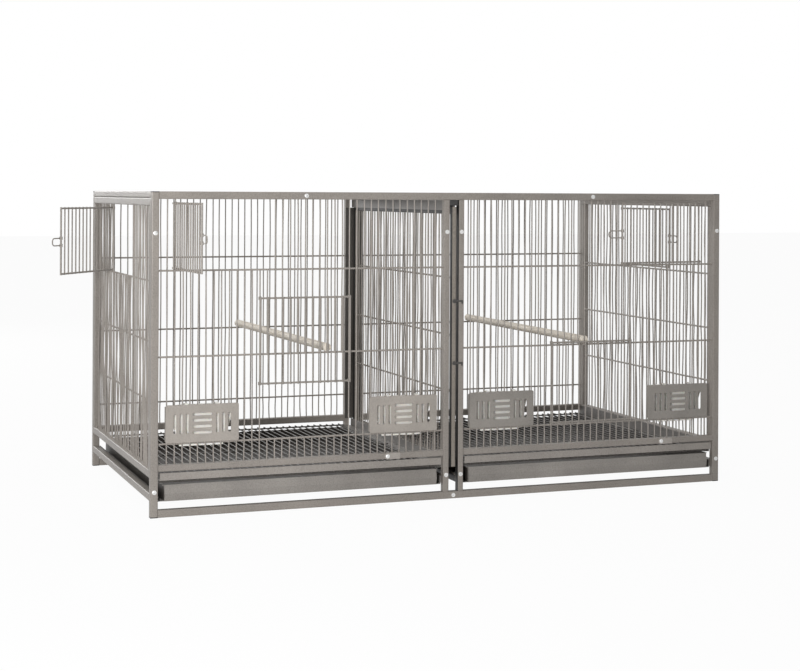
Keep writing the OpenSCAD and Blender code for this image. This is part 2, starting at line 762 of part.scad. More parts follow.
module front_door(side, angle) color(steel)
    at_nest_hinge(side, angle) wire_door(nest_cells, nest_sill_z, nest_z1);

module front_loop(side, angle) color(dark_steel) at_nest_hinge(side, angle)
    translate([nest_cells * pitch + door_over, -door_standoff, (nest_sill_z + nest_z1) / 2])
        door_loop();

module side_door(side, angle) color(steel)
    at_side_hinge(side, angle) wire_door(side_door_cells, side_top_z, side_z1);

module side_loop(side, angle) color(dark_steel) at_side_hinge(side, angle)
    translate([side_door_cells * pitch + door_over, -door_standoff, (side_top_z + side_z1) / 2])
        door_loop();

// ---------- latches and perches ----------

// Blade on a rivet in the floor rail, turned aside along the rail
module turn_latch(x) color(steel)
    translate([x, front_y - seat_gap, rivet_z]) rotate([90, 0, 0])
        difference() {
            union() {
                cylinder(d = blade_w, h = blade_t, $fn = round_fn);
                translate([0, -blade_w * 0.48, 0]) cube([blade_l, blade_w * 0.96, blade_t]);
            }
            translate([0, 0, -1])
                cylinder(d = shank_d + 2 * hinge_gap, h = blade_t + 2, $fn = round_fn);
        }

// Dowel between two wires, its sawn ends astride them and resting on the cross wires
module perch(x_front, x_back) color(pine) {
    run = back_wire_y;
    turn = atan2(x_back - x_front, run);
    l = run / cos(turn) + 2 * perch_out;
    difference() {
        translate([x_front, 0, perch_z]) rotate([0, 0, -turn]) translate([0, -perch_out, 0])
            rotate([-90, 0, 0]) cylinder(d = perch_d, h = l, $fn = round_fn);
        for (p = [[x_front, perch_cut - perch_d], [x_back, back_wire_y - perch_cut]])
            translate([p[0] - perch_slot / 2, p[1], perch_z - perch_d])
                cube([perch_slot, perch_d, 2 * perch_d]);
    }
}

front_posts();
front_rails();
back_posts();
back_rails();
side_rails(-1);  // left_side_rails
side_rails(1);  // right_side_rails
side_uprights();
roof_rails();
roof_bars();
front_grille(-1);  // front_left_grille
front_grille(1);  // front_right_grille
back_grille(-1);  // back_left_grille
back_grille(1);  // back_right_grille
side_grille(-1);  // left_side_grille
side_grille(1);  // right_side_grille
roof_grille();
centre_rails();
tray_runners();
grate_ledges();
divider_sill();
divider_top_guide();
post_plugs();
frame_screws();
latch_rivets();
tray(-1);  // left_tray
tray(1);  // right_tray
grate(-1);  // left_grate
grate(1);  // right_grate
grate_strip(-1);  // left_grate_strip
grate_strip(1);  // right_grate_strip
divider_posts();
divider_rails();
divider_grille();
divider_hook_pins();
divider_hook(hook_high_z);  // upper_divider_hook
divider_hook(hook_low_z);  // lower_divider_hook
feeder_plate(-1, feeder_starts[0]);  // feeder_plate_1
feeder_plate(-1, feeder_starts[1]);  // feeder_plate_2
feeder_plate(1, feeder_starts[1]);  // feeder_plate_3
feeder_plate(1, feeder_starts[0]);  // feeder_plate_4
feed_cup(-1, feeder_starts[0]);  // feed_cup_1
feed_cup(-1, feeder_starts[1]);  // feed_cup_2
feed_cup(1, feeder_starts[1]);  // feed_cup_3
feed_cup(1, feeder_starts[0]);  // feed_cup_4
gate(-1, gate_lift);  // left_gate
gate(1, 0);  // right_gate
front_door(-1, nest_open);  // front_left_door
front_door(1, nest_ajar);  // front_right_door
side_door(-1, side_open);  // left_side_door
side_door(1, 0);  // right_side_door
front_loop(-1, nest_open);  // front_left_loop
front_loop(1, nest_ajar);  // front_right_loop
side_loop(-1, side_open);  // left_side_loop
side_loop(1, 0);  // right_side_loop
turn_latch(rivet_x[0]);  // left_turn_latch
turn_latch(rivet_x[1]);  // right_turn_latch
perch(wire_x(left_perch_front), wire_x(left_perch_back));  // left_perch
perch(-wire_x(right_perch_wire), -wire_x(right_perch_wire));  // right_perch
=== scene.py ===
import math
import random

import bpy
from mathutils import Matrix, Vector


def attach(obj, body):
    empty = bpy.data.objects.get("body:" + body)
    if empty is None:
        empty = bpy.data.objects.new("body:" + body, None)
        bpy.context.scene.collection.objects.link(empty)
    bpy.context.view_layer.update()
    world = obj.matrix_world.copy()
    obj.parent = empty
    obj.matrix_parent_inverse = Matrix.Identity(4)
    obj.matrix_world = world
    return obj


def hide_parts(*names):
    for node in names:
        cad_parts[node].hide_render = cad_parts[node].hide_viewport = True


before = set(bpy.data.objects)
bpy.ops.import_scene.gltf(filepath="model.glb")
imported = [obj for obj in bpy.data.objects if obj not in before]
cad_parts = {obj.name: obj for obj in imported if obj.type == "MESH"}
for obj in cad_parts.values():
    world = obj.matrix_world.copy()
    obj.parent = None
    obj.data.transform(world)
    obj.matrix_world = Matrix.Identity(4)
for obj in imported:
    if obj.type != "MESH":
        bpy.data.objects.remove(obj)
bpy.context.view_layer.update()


# Camera and daylight studio. The camera stands left of the cage's middle, level with its
# top and about 2.5 m in front of it, with its picture plane shifted down so that the
# uprights stay upright. Floor and backdrop are plain white; the floor keeps a shadow.
camera_data = bpy.data.cameras.new("camera")
camera_data.lens = 72.84
camera_data.sensor_width = 36.0
camera_data.shift_y = -0.1784
camera = bpy.data.objects.new("camera", camera_data)
camera.location = (-1.0286, -2.4925, 0.5075)
camera.rotation_euler = (math.radians(90.0), math.radians(-0.28), math.radians(-20.54))
bpy.context.collection.objects.link(camera)
bpy.context.scene.camera = camera
bpy.context.scene.view_settings.view_transform = "Standard"

WHITE = (1.0, 1.0, 1.0, 1.0)


def new_material(name):
    """An empty node material and its output node."""
    material = bpy.data.materials.new(name)
    material.use_nodes = True
    material.node_tree.nodes.clear()
    output = material.node_tree.nodes.new("ShaderNodeOutputMaterial")
    return material, output


def whitened(tree, output, lit_shader, share):
    """Shows a share of plain white, over the lit surface, to the camera and in reflections."""
    path = tree.nodes.new("ShaderNodeLightPath")
    seen = tree.nodes.new("ShaderNodeMath")
    seen.operation = "MAXIMUM"
    tree.links.new(path.outputs["Is Camera Ray"], seen.inputs[0])
    tree.links.new(path.outputs["Is Glossy Ray"], seen.inputs[1])
    through = tree.nodes.new("ShaderNodeMath")
    through.operation = "MAXIMUM"
    tree.links.new(seen.outputs[0], through.inputs[0])
    tree.links.new(path.outputs["Is Transmission Ray"], through.inputs[1])
    amount = tree.nodes.new("ShaderNodeMath")
    amount.operation = "MULTIPLY"
    amount.inputs[1].default_value = share
    tree.links.new(through.outputs[0], amount.inputs[0])
    white = tree.nodes.new("ShaderNodeEmission")
    white.inputs["Color"].default_value = WHITE
    mix = tree.nodes.new("ShaderNodeMixShader")
    tree.links.new(amount.outputs[0], mix.inputs["Fac"])
    tree.links.new(lit_shader.outputs[0], mix.inputs[1])
    tree.links.new(white.outputs[0], mix.inputs[2])
    tree.links.new(mix.outputs[0], output.inputs["Surface"])


floor_material, floor_output = new_material("studio_floor")
floor_diffuse = floor_material.node_tree.nodes.new("ShaderNodeBsdfDiffuse")
floor_diffuse.inputs["Color"].default_value = (0.8, 0.8, 0.8, 1.0)
whitened(floor_material.node_tree, floor_output, floor_diffuse, 0.96)
floor_mesh = bpy.data.meshes.new("studio_floor")
floor_mesh.from_pydata([(-12, -8, 0), (12, -8, 0), (12, 16, 0), (-12, 16, 0)], [], [(0, 1, 2, 3)])
floor = bpy.data.objects.new("studio_floor", floor_mesh)
floor_mesh.materials.append(floor_material)
bpy.context.collection.objects.link(floor)

world = bpy.data.worlds.new("studio")
bpy.context.scene.world = world
world.use_nodes = True
world_tree = world.node_tree
world_tree.nodes.clear()
world_output = world_tree.nodes.new("ShaderNodeOutputWorld")
sky_light = world_tree.nodes.new("ShaderNodeBackground")
sky_light.inputs["Color"].default_value = WHITE
sky_light.inputs["Strength"].default_value = 0.2
whitened(world_tree, world_output, sky_light, 1.0)


def softbox(name, place, aim, size, watts):
    """A square studio lamp at place, turned towards aim."""
    lamp = bpy.data.lights.new(name, "AREA")
    lamp.size = size
    lamp.energy = watts
    holder = bpy.data.objects.new(name, lamp)
    holder.location = place
    look = Vector(aim) - Vector(place)
    holder.rotation_euler = look.to_track_quat("-Z", "Y").to_euler()
    bpy.context.collection.objects.link(holder)


softbox("key_light", (-1.15, -1.65, 0.5), (-0.4, 0.0, 0.2), 0.26, 21.5)
softbox("back_light", (-1.3, 3.2, 1.2), (-0.1, 0.4, 0.25), 1.3, 30.0)
softbox("top_light", (-0.5, 0.4, 2.6), (-0.2, 0.25, 0.3), 2.0, 20.0)


# Tube frame. Square steel tube, welded, then powder coated in a warm grey hammered
# finish: dark and light flakes a millimetre across over slow drifts of tone. The same
# coat is on the wires and sheet parts, each with its own tone.
def group_input(group, name, kind, value):
    socket = group.interface.new_socket(name, in_out="INPUT", socket_type=kind)
    socket.default_value = value


def math_node(tree, operation, first, second, clamp=False):
    """A Math node; each operand is a socket or a number."""
    node = tree.nodes.new("ShaderNodeMath")
    node.operation = operation
    node.use_clamp = clamp
    for index, operand in enumerate((first, second)):
        if isinstance(operand, (int, float)):
            node.inputs[index].default_value = operand
        else:
            tree.links.new(operand, node.inputs[index])
    return node.outputs[0]


def mix_colour(tree, factor, first, second, blend="MIX"):
    """A Mix Color node; factor and colours are sockets or plain values."""
    node = tree.nodes.new("ShaderNodeMix")
    node.data_type = "RGBA"
    node.blend_type = blend
    operands = ((node.inputs[0], factor), (node.inputs[6], first), (node.inputs[7], second))
    for socket, value in operands:
        if isinstance(value, bpy.types.NodeSocket):
            tree.links.new(value, socket)
        else:
            socket.default_value = value
    return node.outputs[2]


def build_hammered_coat():
    """Group: flecked powder coat. Gives the colour, a height and a roughness."""
    group = bpy.data.node_groups.new("hammered_coat", "ShaderNodeTree")
    group_input(group, "Light Fleck", "NodeSocketColor", (0.4, 0.38, 0.36, 1.0))
    group_input(group, "Dark Fleck", "NodeSocketColor", (0.3, 0.28, 0.26, 1.0))
    group_input(group, "Fleck Scale", "NodeSocketFloat", 620.0)
    group_input(group, "Drift", "NodeSocketFloat", 0.12)
    for name, kind in (("Colour", "NodeSocketColor"), ("Height", "NodeSocketFloat"),
                       ("Roughness", "NodeSocketFloat")):
        group.interface.new_socket(name, in_out="OUTPUT", socket_type=kind)
    entry = group.nodes.new("NodeGroupInput")
    leave = group.nodes.new("NodeGroupOutput")
    place = group.nodes.new("ShaderNodeTexCoord")

    flecks = group.nodes.new("ShaderNodeTexVoronoi")
    flecks.feature = "SMOOTH_F1"
    group.links.new(place.outputs["Object"], flecks.inputs["Vector"])
    group.links.new(entry.outputs["Fleck Scale"], flecks.inputs["Scale"])
    grain = group.nodes.new("ShaderNodeTexNoise")
    grain.inputs["Scale"].default_value = 1400.0
    grain.inputs["Detail"].default_value = 3.0
    group.links.new(place.outputs["Object"], grain.inputs["Vector"])
    drift = group.nodes.new("ShaderNodeTexNoise")
    drift.inputs["Scale"].default_value = 9.0
    drift.inputs["Detail"].default_value = 4.0
    group.links.new(place.outputs["Object"], drift.inputs["Vector"])

    speck = math_node(group, "ADD", math_node(group, "MULTIPLY", flecks.outputs["Distance"], 0.9),
                      math_node(group, "MULTIPLY", grain.outputs[0], 0.5), clamp=True)
    flecked = mix_colour(group, speck, entry.outputs["Light Fleck"], entry.outputs["Dark Fleck"])
    swing = math_node(group, "MULTIPLY", math_node(group, "SUBTRACT", drift.outputs[0], 0.5),
                      entry.outputs["Drift"])
    level = math_node(group, "ADD", math_node(group, "MULTIPLY", swing, 4.0), 1.0)
    tone = group.nodes.new("ShaderNodeCombineColor")
    for channel in range(3):
        group.links.new(level, tone.inputs[channel])
    toned = mix_colour(group, 1.0, flecked, tone.outputs[0], "MULTIPLY")
    group.links.new(toned, leave.inputs["Colour"])
    height = math_node(group, "ADD", math_node(group, "MULTIPLY", flecks.outputs["Distance"], 0.8),
                       math_node(group, "MULTIPLY", grain.outputs[0], 0.2))
    group.links.new(height, leave.inputs["Height"])
    rough = math_node(group, "ADD", math_node(group, "MULTIPLY", speck, 0.16), 0.36)
    group.links.new(rough, leave.inputs["Roughness"])
    return group


def build_settled_dust():
    """Group: pale dust on upward faces, in patches. Gives the dusted colour and a mask."""
    group = bpy.data.node_groups.new("settled_dust", "ShaderNodeTree")
    group_input(group, "Colour", "NodeSocketColor", (0.5, 0.5, 0.5, 1.0))
    group_input(group, "Amount", "NodeSocketFloat", 0.25)
    for name, kind in (("Colour", "NodeSocketColor"), ("Mask", "NodeSocketFloat")):
        group.interface.new_socket(name, in_out="OUTPUT", socket_type=kind)
    entry = group.nodes.new("NodeGroupInput")
    leave = group.nodes.new("NodeGroupOutput")
    surface = group.nodes.new("ShaderNodeNewGeometry")
    split = group.nodes.new("ShaderNodeSeparateXYZ")
    group.links.new(surface.outputs["Normal"], split.inputs[0])
    upward = math_node(group, "MULTIPLY", math_node(group, "SUBTRACT", split.outputs["Z"], 0.55),
                       2.2, clamp=True)
    place = group.nodes.new("ShaderNodeTexCoord")
    patches = group.nodes.new("ShaderNodeTexNoise")
    patches.inputs["Scale"].default_value = 45.0
    patches.inputs["Detail"].default_value = 6.0
    group.links.new(place.outputs["Object"], patches.inputs["Vector"])
    mask = math_node(group, "MULTIPLY", math_node(group, "MULTIPLY", upward, patches.outputs[0]),
                     entry.outputs["Amount"], clamp=True)
    dusted = mix_colour(group, mask, entry.outputs["Colour"], (0.62, 0.59, 0.54, 1.0))
    group.links.new(dusted, leave.inputs["Colour"])
    group.links.new(mask, leave.inputs["Mask"])
    return group


hammered_coat = build_hammered_coat()
settled_dust = build_settled_dust()


def place_group(tree, group, **values):
    """One use of a node group, with its inputs set or linked by name."""
    node = tree.nodes.new("ShaderNodeGroup")
    node.node_tree = group
    for name, value in values.items():
        socket = node.inputs[name.replace("_", " ")]
        if isinstance(value, bpy.types.NodeSocket):
            tree.links.new(value, socket)
        else:
            socket.default_value = value
    return node


def powder_coat(name, light, dark, fleck_scale=620.0, drift=0.12, dust=0.25, bump=0.12):
    """Hammered powder coat on steel, slightly glossy, with dust on what faces up."""
    material, output = new_material(name)
    tree = material.node_tree
    shader = tree.nodes.new("ShaderNodeBsdfPrincipled")
    shader.inputs["Metallic"].default_value = 0.05
    shader.inputs["Specular IOR Level"].default_value = 0.35
    shader.inputs["Coat Weight"].default_value = 0.12
    shader.inputs["Coat Roughness"].default_value = 0.22
    coat = place_group(tree, hammered_coat, Light_Fleck=(*light, 1.0), Dark_Fleck=(*dark, 1.0),
                       Fleck_Scale=fleck_scale, Drift=drift)
    dusted = place_group(tree, settled_dust, Colour=coat.outputs["Colour"], Amount=dust)
    rough = math_node(tree, "ADD", coat.outputs["Roughness"],
                      math_node(tree, "MULTIPLY", dusted.outputs["Mask"], 0.5), clamp=True)
    relief = tree.nodes.new("ShaderNodeBump")
    relief.inputs["Strength"].default_value = bump
    relief.inputs["Distance"].default_value = 0.0004
    tree.links.new(coat.outputs["Height"], relief.inputs["Height"])
    tree.links.new(dusted.outputs["Colour"], shader.inputs["Base Color"])
    tree.links.new(rough, shader.inputs["Roughness"])
    tree.links.new(relief.outputs["Normal"], shader.inputs["Normal"])
    tree.links.new(shader.outputs[0], output.inputs["Surface"])
    return material


def build_painted_slot_shade():
    """Group: painted shade, near-black, on the faces that look sideways into the divider's slot.
    """
    group = bpy.data.node_groups.new("painted_slot_shade", "ShaderNodeTree")
    group_input(group, "Colour", "NodeSocketColor", (0.5, 0.5, 0.5, 1.0))
    group_input(group, "Half Width", "NodeSocketFloat", 0.008)
    group.interface.new_socket("Colour", in_out="OUTPUT", socket_type="NodeSocketColor")
    entry = group.nodes.new("NodeGroupInput")
    leave = group.nodes.new("NodeGroupOutput")
    surface = group.nodes.new("ShaderNodeNewGeometry")
    facing = group.nodes.new("ShaderNodeSeparateXYZ")
    group.links.new(surface.outputs["Normal"], facing.inputs[0])
    sideways = math_node(group, "ABSOLUTE", facing.outputs["X"], 0.0)
    sideways = math_node(group, "MULTIPLY", math_node(group, "SUBTRACT", sideways, 0.5), 6.0,
                         clamp=True)
    place = group.nodes.new("ShaderNodeTexCoord")
    spot = group.nodes.new("ShaderNodeSeparateXYZ")
    group.links.new(place.outputs["Object"], spot.inputs[0])
    inset = math_node(group, "SUBTRACT", entry.outputs["Half Width"],
                      math_node(group, "ABSOLUTE", spot.outputs["X"], 0.0))
    mask = math_node(group, "MULTIPLY", sideways, math_node(group, "MULTIPLY", inset, 4000.0,
                                                            clamp=True))
    # painted shade: sideways faces near the middle are turned near-black
    slot_shaded = mix_colour(group, mask, entry.outputs["Colour"], (0.012, 0.011, 0.010, 1.0))
    group.links.new(slot_shaded, leave.inputs["Colour"])
    return group


painted_slot_shade = build_painted_slot_shade()


def paint_slot_shade(material, half_width):
    """Adds the slot's painted shade to a coat, up to half_width from the cage's middle."""
    tree = material.node_tree
    shader = tree.nodes["Principled BSDF"]
    clean = shader.inputs["Base Color"].links[0].from_socket
    slot_shaded = place_group(tree, painted_slot_shade, Colour=clean, Half_Width=half_width)
    tree.links.new(slot_shaded.outputs["Colour"], shader.inputs["Base Color"])


def coat_nodes(material, *names):
    """Gives CAD nodes their finish."""
    for name in names:
        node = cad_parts[name]
        node.data.materials.clear()
        node.data.materials.append(material)


frame_coat = powder_coat("frame_coat", (0.40, 0.362, 0.328), (0.26, 0.236, 0.212), bump=0.3)
# painted shade: the centre posts' faces that look into the divider's slot are turned near-black
paint_slot_shade(frame_coat, 0.0086)
coat_nodes(frame_coat, "front_posts", "front_rails", "back_posts", "back_rails",
           "left_side_rails", "right_side_rails", "side_uprights", "roof_rails", "roof_bars",
           "centre_rails")


# Wire walls and roof. Drawn steel wire, 2.2 mm uprights resistance-welded to 3 mm cross
# wires and coated like the frame. Each wire strays a little at its welds and bows between
# them, except those that a door, gate, plate or perch turns or slides on.
class Wirework:
    """Round wires and weld beads, gathered for one mesh."""

    SIDES = 10
    WELD_SIDES = 6
    WELD_RINGS = (-0.6, 0.0, 0.6)
    WELD_R = 0.00125
    CREASE = math.radians(50.0)

    def __init__(self):
        self.points = []
        self.faces = []

    def wire(self, path, thickness):
        """A round wire whose middle follows path."""
        run = (path[-1] - path[0]).normalized()
        side = run.orthogonal().normalized()
        up = run.cross(side)
        base = len(self.points)
        for point in path:
            for k in range(self.SIDES):
                turn = 2.0 * math.pi * k / self.SIDES
                self.points.append(point + (side * math.cos(turn) + up * math.sin(turn))
                                   * (thickness / 2.0))
        for ring in range(len(path) - 1):
            low = base + ring * self.SIDES
            for k in range(self.SIDES):
                after = (k + 1) % self.SIDES
                self.faces.append((low + k, low + after, low + self.SIDES + after,
                                   low + self.SIDES + k))
        last = base + (len(path) - 1) * self.SIDES
        self.faces.append(tuple(range(base + self.SIDES - 1, base - 1, -1)))
        self.faces.append(tuple(range(last, last + self.SIDES)))

    def weld(self, place):
        """A small round bead where two wires are welded."""
        base = len(self.points)
        sides = self.WELD_SIDES
        self.points.append(Vector(place) - Vector((0.0, 0.0, self.WELD_R)))
        for lift in self.WELD_RINGS:
            reach = self.WELD_R * math.sqrt(1.0 - lift * lift)
            for k in range(sides):
                turn = 2.0 * math.pi * k / sides
                self.points.append(Vector(place) + Vector((reach * math.cos(turn),
                                                           reach * math.sin(turn),
                                                           self.WELD_R * lift)))
        self.points.append(Vector(place) + Vector((0.0, 0.0, self.WELD_R)))
        first = base + 1
        last = first + (len(self.WELD_RINGS) - 1) * sides
        for k in range(sides):
            after = (k + 1) % sides
            self.faces.append((base, first + after, first + k))
            for low in range(first, last, sides):
                self.faces.append((low + k, low + after, low + sides + after, low + sides + k))
            self.faces.append((last + k, last + after, last + sides))

    def piece(self, name, material, node, body="cage"):
        """The gathered wires as one piece, in place of a CAD node."""
        mesh = bpy.data.meshes.new(name)
        mesh.from_pydata([tuple(p) for p in self.points], [], self.faces)
        mesh.shade_smooth()
        mesh.set_sharp_from_angle(angle=self.CREASE)
        mesh.materials.append(material)
        made = bpy.data.objects.new(name, mesh)
        bpy.context.collection.objects.link(made)
        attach(made, body)
        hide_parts(node)


BOW_STEPS = 4


def strayed(stops, stray, bow, chance):
    """Heights and offsets (side, out) of one wire that is welded at each of stops."""
    offsets = [[chance.uniform(-1.0, 1.0) * s for s in stray] for _ in stops]
    path = []
    for k in range(len(stops) - 1):
        belly = [chance.uniform(-1.0, 1.0) * b for b in bow]
        for step in range(BOW_STEPS):
            share = step / BOW_STEPS
            lift = math.sin(math.pi * share)
            path.append([stops[k] + (stops[k + 1] - stops[k]) * share]
                        + [offsets[k][n] + (offsets[k + 1][n] - offsets[k][n]) * share
                           + belly[n] * lift for n in (0, 1)])
    path.append([stops[-1]] + offsets[-1])
    return path


PITCH = 0.0125
THIN_WIRE = 0.0022
CROSS_WIRE = 0.003
CROSS_SET = 0.0023
WELD_Y = 0.55 * CROSS_SET
LAST_WIRE = 36
BAY_OUTER = 0.496
BAY_INNER = 0.018
FIRST_X = 0.482
WALL_FOOT = 0.0815
SIDE_FOOT = 0.073
WALL_HEAD = 0.496
SILL_Z = 0.113
GATE_HEAD_Z = 0.249
NEST_SILL_Z = 0.384
FEEDER_TOP_Z = 0.172
WALL_ROWS = (SILL_Z, GATE_HEAD_Z, NEST_SILL_Z)
END_ROOM = 0.01
FEEDERS = ((0, 9), (27, 36))
GATE_WIRES = (12, 24)
NEST_WIRES = (1, 14)
PERCH_WIRES = (19, 20, 21)
BACK_WIRE_Y = 0.513
STRAIGHT = ((0.0, 0.0), (0.0, 0.0))
FRONT_STRAY = ((0.0005, 0.0002), (0.0005, 0.0003))
BACK_STRAY = ((0.0005, 0.0003), (0.0006, 0.0009))

wire_coat = powder_coat("wire_coat", (0.47, 0.428, 0.388), (0.30, 0.273, 0.247), fleck_scale=900.0,
                        bump=0.15, dust=0.15)


def front_stretches(i):
    """Upright stretches of one front wire, as pairs of heights."""
    in_feeder = any(low < i < high for low, high in FEEDERS)
    in_gate = GATE_WIRES[0] < i < GATE_WIRES[1]
    foot = WALL_FOOT
    head = WALL_HEAD
    pieces = []
    if in_gate or in_feeder:
        pieces.append((WALL_FOOT, SILL_Z + CROSS_WIRE / 2))
        foot = (GATE_HEAD_Z if in_gate else FEEDER_TOP_Z) - CROSS_WIRE / 2
    if NEST_WIRES[0] < i < NEST_WIRES[1]:
        head = NEST_SILL_Z + CROSS_WIRE / 2
    return pieces + [(foot, head)]


def front_wall(name, side, chance):
    work = Wirework()
    straight = set(GATE_WIRES + NEST_WIRES + PERCH_WIRES + FEEDERS[0] + FEEDERS[1])
    for i in range(LAST_WIRE + 1):
        x = side * (FIRST_X - PITCH * i)
        for foot, head in front_stretches(i):
            rows = [z for z in WALL_ROWS if foot + END_ROOM < z < head - END_ROOM]
            stray, bow = STRAIGHT if i in straight else FRONT_STRAY
            path = strayed([foot] + rows + [head], stray, bow, chance)
            work.wire([Vector((x + p[1], p[2], p[0])) for p in path], THIN_WIRE)
        for z in WALL_ROWS:
            if any(foot <= z <= head for foot, head in front_stretches(i)):
                work.weld((x, WELD_Y, z))
    for z in WALL_ROWS:
        work.wire([Vector((side * x, CROSS_SET, z)) for x in (BAY_OUTER, BAY_INNER)], CROSS_WIRE)
    for feeder in FEEDERS:
        ends = [side * (FIRST_X - PITCH * i) for i in feeder]
        work.wire([Vector((x, CROSS_SET, FEEDER_TOP_Z)) for x in ends], CROSS_WIRE)
    work.piece(name, wire_coat, name.replace("_wires", "_grille"))


def back_wall(name, side, chance):
    work = Wirework()
    for i in range(LAST_WIRE + 1):
        x = side * (FIRST_X - PITCH * i)
        stray, bow = STRAIGHT if i in PERCH_WIRES else BACK_STRAY
        path = strayed([SIDE_FOOT] + list(WALL_ROWS) + [WALL_HEAD], stray, bow, chance)
        work.wire([Vector((x + p[1], BACK_WIRE_Y + p[2], p[0])) for p in path], THIN_WIRE)
        for z in WALL_ROWS:
            work.weld((x, BACK_WIRE_Y - WELD_Y, z))
    for z in WALL_ROWS:
        work.wire([Vector((side * x, BACK_WIRE_Y - CROSS_SET, z)) for x in (BAY_OUTER, BAY_INNER)],
                  CROSS_WIRE)
    work.piece(name, wire_coat, name.replace("_wires", "_grille"))


front_wall("front_left_wires", -1, random.Random(11))
front_wall("front_right_wires", 1, random.Random(12))
back_wall("back_left_wires", -1, random.Random(13))
back_wall("back_right_wires", 1, random.Random(14))


# Side walls: the same welded mesh, which has come a little out of flat between its two end
# tubes, with an opening behind each side door.
SIDE_X = 0.502
SIDE_FIRST_Y = 0.0315
SIDE_HEAD = 0.4855
SIDE_ROWS = (0.176, 0.270, 0.366)
SIDE_ENDS = (0.016, 0.497)
SIDE_DOOR_WIRES = (11, 25)
LOOP_WIRES = (8, 9, 10)  # a side door's loop swings past these as the door closes
SIDE_STRAY = ((0.0007, 0.0003), (0.0009, 0.0013))
BULGE = 0.0009
CALM_EDGE = 0.05
CALM_TOP_Z = 0.45
CALM_FADE = 0.15
CROSS_STEPS = 24


def out_of_flat(y, z):
    """How far a side wall stands out of its plane; nothing at its ends and its door."""
    edge = min(y - SIDE_ENDS[0], SIDE_ENDS[1] - y) / CALM_EDGE
    calm = max(0.0, min(1.0, edge)) * max(0.0, min(1.0, (CALM_TOP_Z - z) / CALM_FADE))
    return BULGE * calm * (math.sin(31.0 * y + 9.0 * z) + 0.6 * math.sin(74.0 * y - 17.0 * z))


def side_wall(name, side, chance):
    work = Wirework()
    for j in range(LAST_WIRE + 1):
        y = SIDE_FIRST_Y + PITCH * j
        low, high = SIDE_DOOR_WIRES
        head = SIDE_ROWS[2] + CROSS_WIRE / 2 if low < j < high else SIDE_HEAD
        loose = j not in SIDE_DOOR_WIRES + LOOP_WIRES
        rows = [z for z in SIDE_ROWS if z < head - END_ROOM]
        stray, bow = SIDE_STRAY if loose else STRAIGHT
        path = strayed([SIDE_FOOT] + rows + [head], stray, bow, chance)
        work.wire([Vector((side * (SIDE_X + p[2] + (out_of_flat(y, p[0]) if loose else 0.0)),
                           y + p[1], p[0])) for p in path], THIN_WIRE)
        for z in SIDE_ROWS:
            work.weld((side * (SIDE_X - WELD_Y), y, z))
    reach = [SIDE_ENDS[0] + (SIDE_ENDS[1] - SIDE_ENDS[0]) * k / CROSS_STEPS
             for k in range(CROSS_STEPS + 1)]
    for z in SIDE_ROWS:
        work.wire([Vector((side * (SIDE_X - CROSS_SET + out_of_flat(y, z)), y, z)) for y in reach],
                  CROSS_WIRE)
    work.piece(name, wire_coat, name.replace("_wires", "_grille"))


side_wall("left_side_wires", -1, random.Random(21))
side_wall("right_side_wires", 1, random.Random(22))


# Wire roof: one welded panel over both halves, laid in the roof's slim tubes, which sags a
# little between its three cross wires.
ROOF_Z = 0.503
ROOF_FIRST_X = -0.48125
ROOF_COUNT = 78
ROOF_STRAY = ((0.0006, 0.0003), (0.0008, 0.0009))
roof_chance = random.Random(31)
roof_work = Wirework()
roof_rows = [SIDE_ENDS[0] + (SIDE_ENDS[1] - SIDE_ENDS[0]) * k / 4.0 for k in (1, 2, 3)]
for count in range(ROOF_COUNT):
    roof_x = ROOF_FIRST_X + PITCH * count
    roof_path = strayed([SIDE_ENDS[0]] + roof_rows + [SIDE_ENDS[1]], *ROOF_STRAY, roof_chance)
    roof_work.wire([Vector((roof_x + p[1], p[0], ROOF_Z + p[2])) for p in roof_path], THIN_WIRE)
    for row in roof_rows:
        roof_work.weld((roof_x, row, ROOF_Z - WELD_Y))
for row in roof_rows:
    roof_work.wire([Vector((x, row, ROOF_Z - CROSS_SET)) for x in (-BAY_OUTER, BAY_OUTER)],
                   CROSS_WIRE)
roof_work.piece("roof_wires", wire_coat, "roof_grille")


# Supports under the floor: folded angles for trays and grates, and the two channels
# that guide the divider. Thin sheet, coated, darker because little light reaches it.
support_coat = powder_coat("support_coat", (0.30, 0.285, 0.27), (0.21, 0.20, 0.19))
coat_nodes(support_coat, "tray_runners", "grate_ledges", "divider_sill", "divider_top_guide")


# Plugs in the ends of the corner posts: black moulded plastic with a fine spark texture,
# pressed into the tubes.
def moulded_plastic(name, colour, roughness, grain_scale, grain_bump, mottle):
    material, output = new_material(name)
    tree = material.node_tree
    shader = tree.nodes.new("ShaderNodeBsdfPrincipled")
    place = tree.nodes.new("ShaderNodeTexCoord")
    grain = tree.nodes.new("ShaderNodeTexNoise")
    grain.inputs["Scale"].default_value = grain_scale
    grain.inputs["Detail"].default_value = 4.0
    tree.links.new(place.outputs["Object"], grain.inputs["Vector"])
    cloud = tree.nodes.new("ShaderNodeTexNoise")
    cloud.inputs["Scale"].default_value = 35.0
    cloud.inputs["Detail"].default_value = 3.0
    tree.links.new(place.outputs["Object"], cloud.inputs["Vector"])
    deeper = tuple(mottle * c for c in colour)
    tone = mix_colour(tree, cloud.outputs[0], (*colour, 1.0), (*deeper, 1.0))
    dusted = place_group(tree, settled_dust, Colour=tone, Amount=0.2)
    tree.links.new(dusted.outputs["Colour"], shader.inputs["Base Color"])
    rough = math_node(tree, "ADD", math_node(tree, "MULTIPLY", grain.outputs[0], 0.2),
                      roughness - 0.1, clamp=True)
    tree.links.new(rough, shader.inputs["Roughness"])
    relief = tree.nodes.new("ShaderNodeBump")
    relief.inputs["Strength"].default_value = grain_bump
    relief.inputs["Distance"].default_value = 0.0002
    tree.links.new(grain.outputs[0], relief.inputs["Height"])
    tree.links.new(relief.outputs["Normal"], shader.inputs["Normal"])
    tree.links.new(shader.outputs[0], output.inputs["Surface"])
    return material


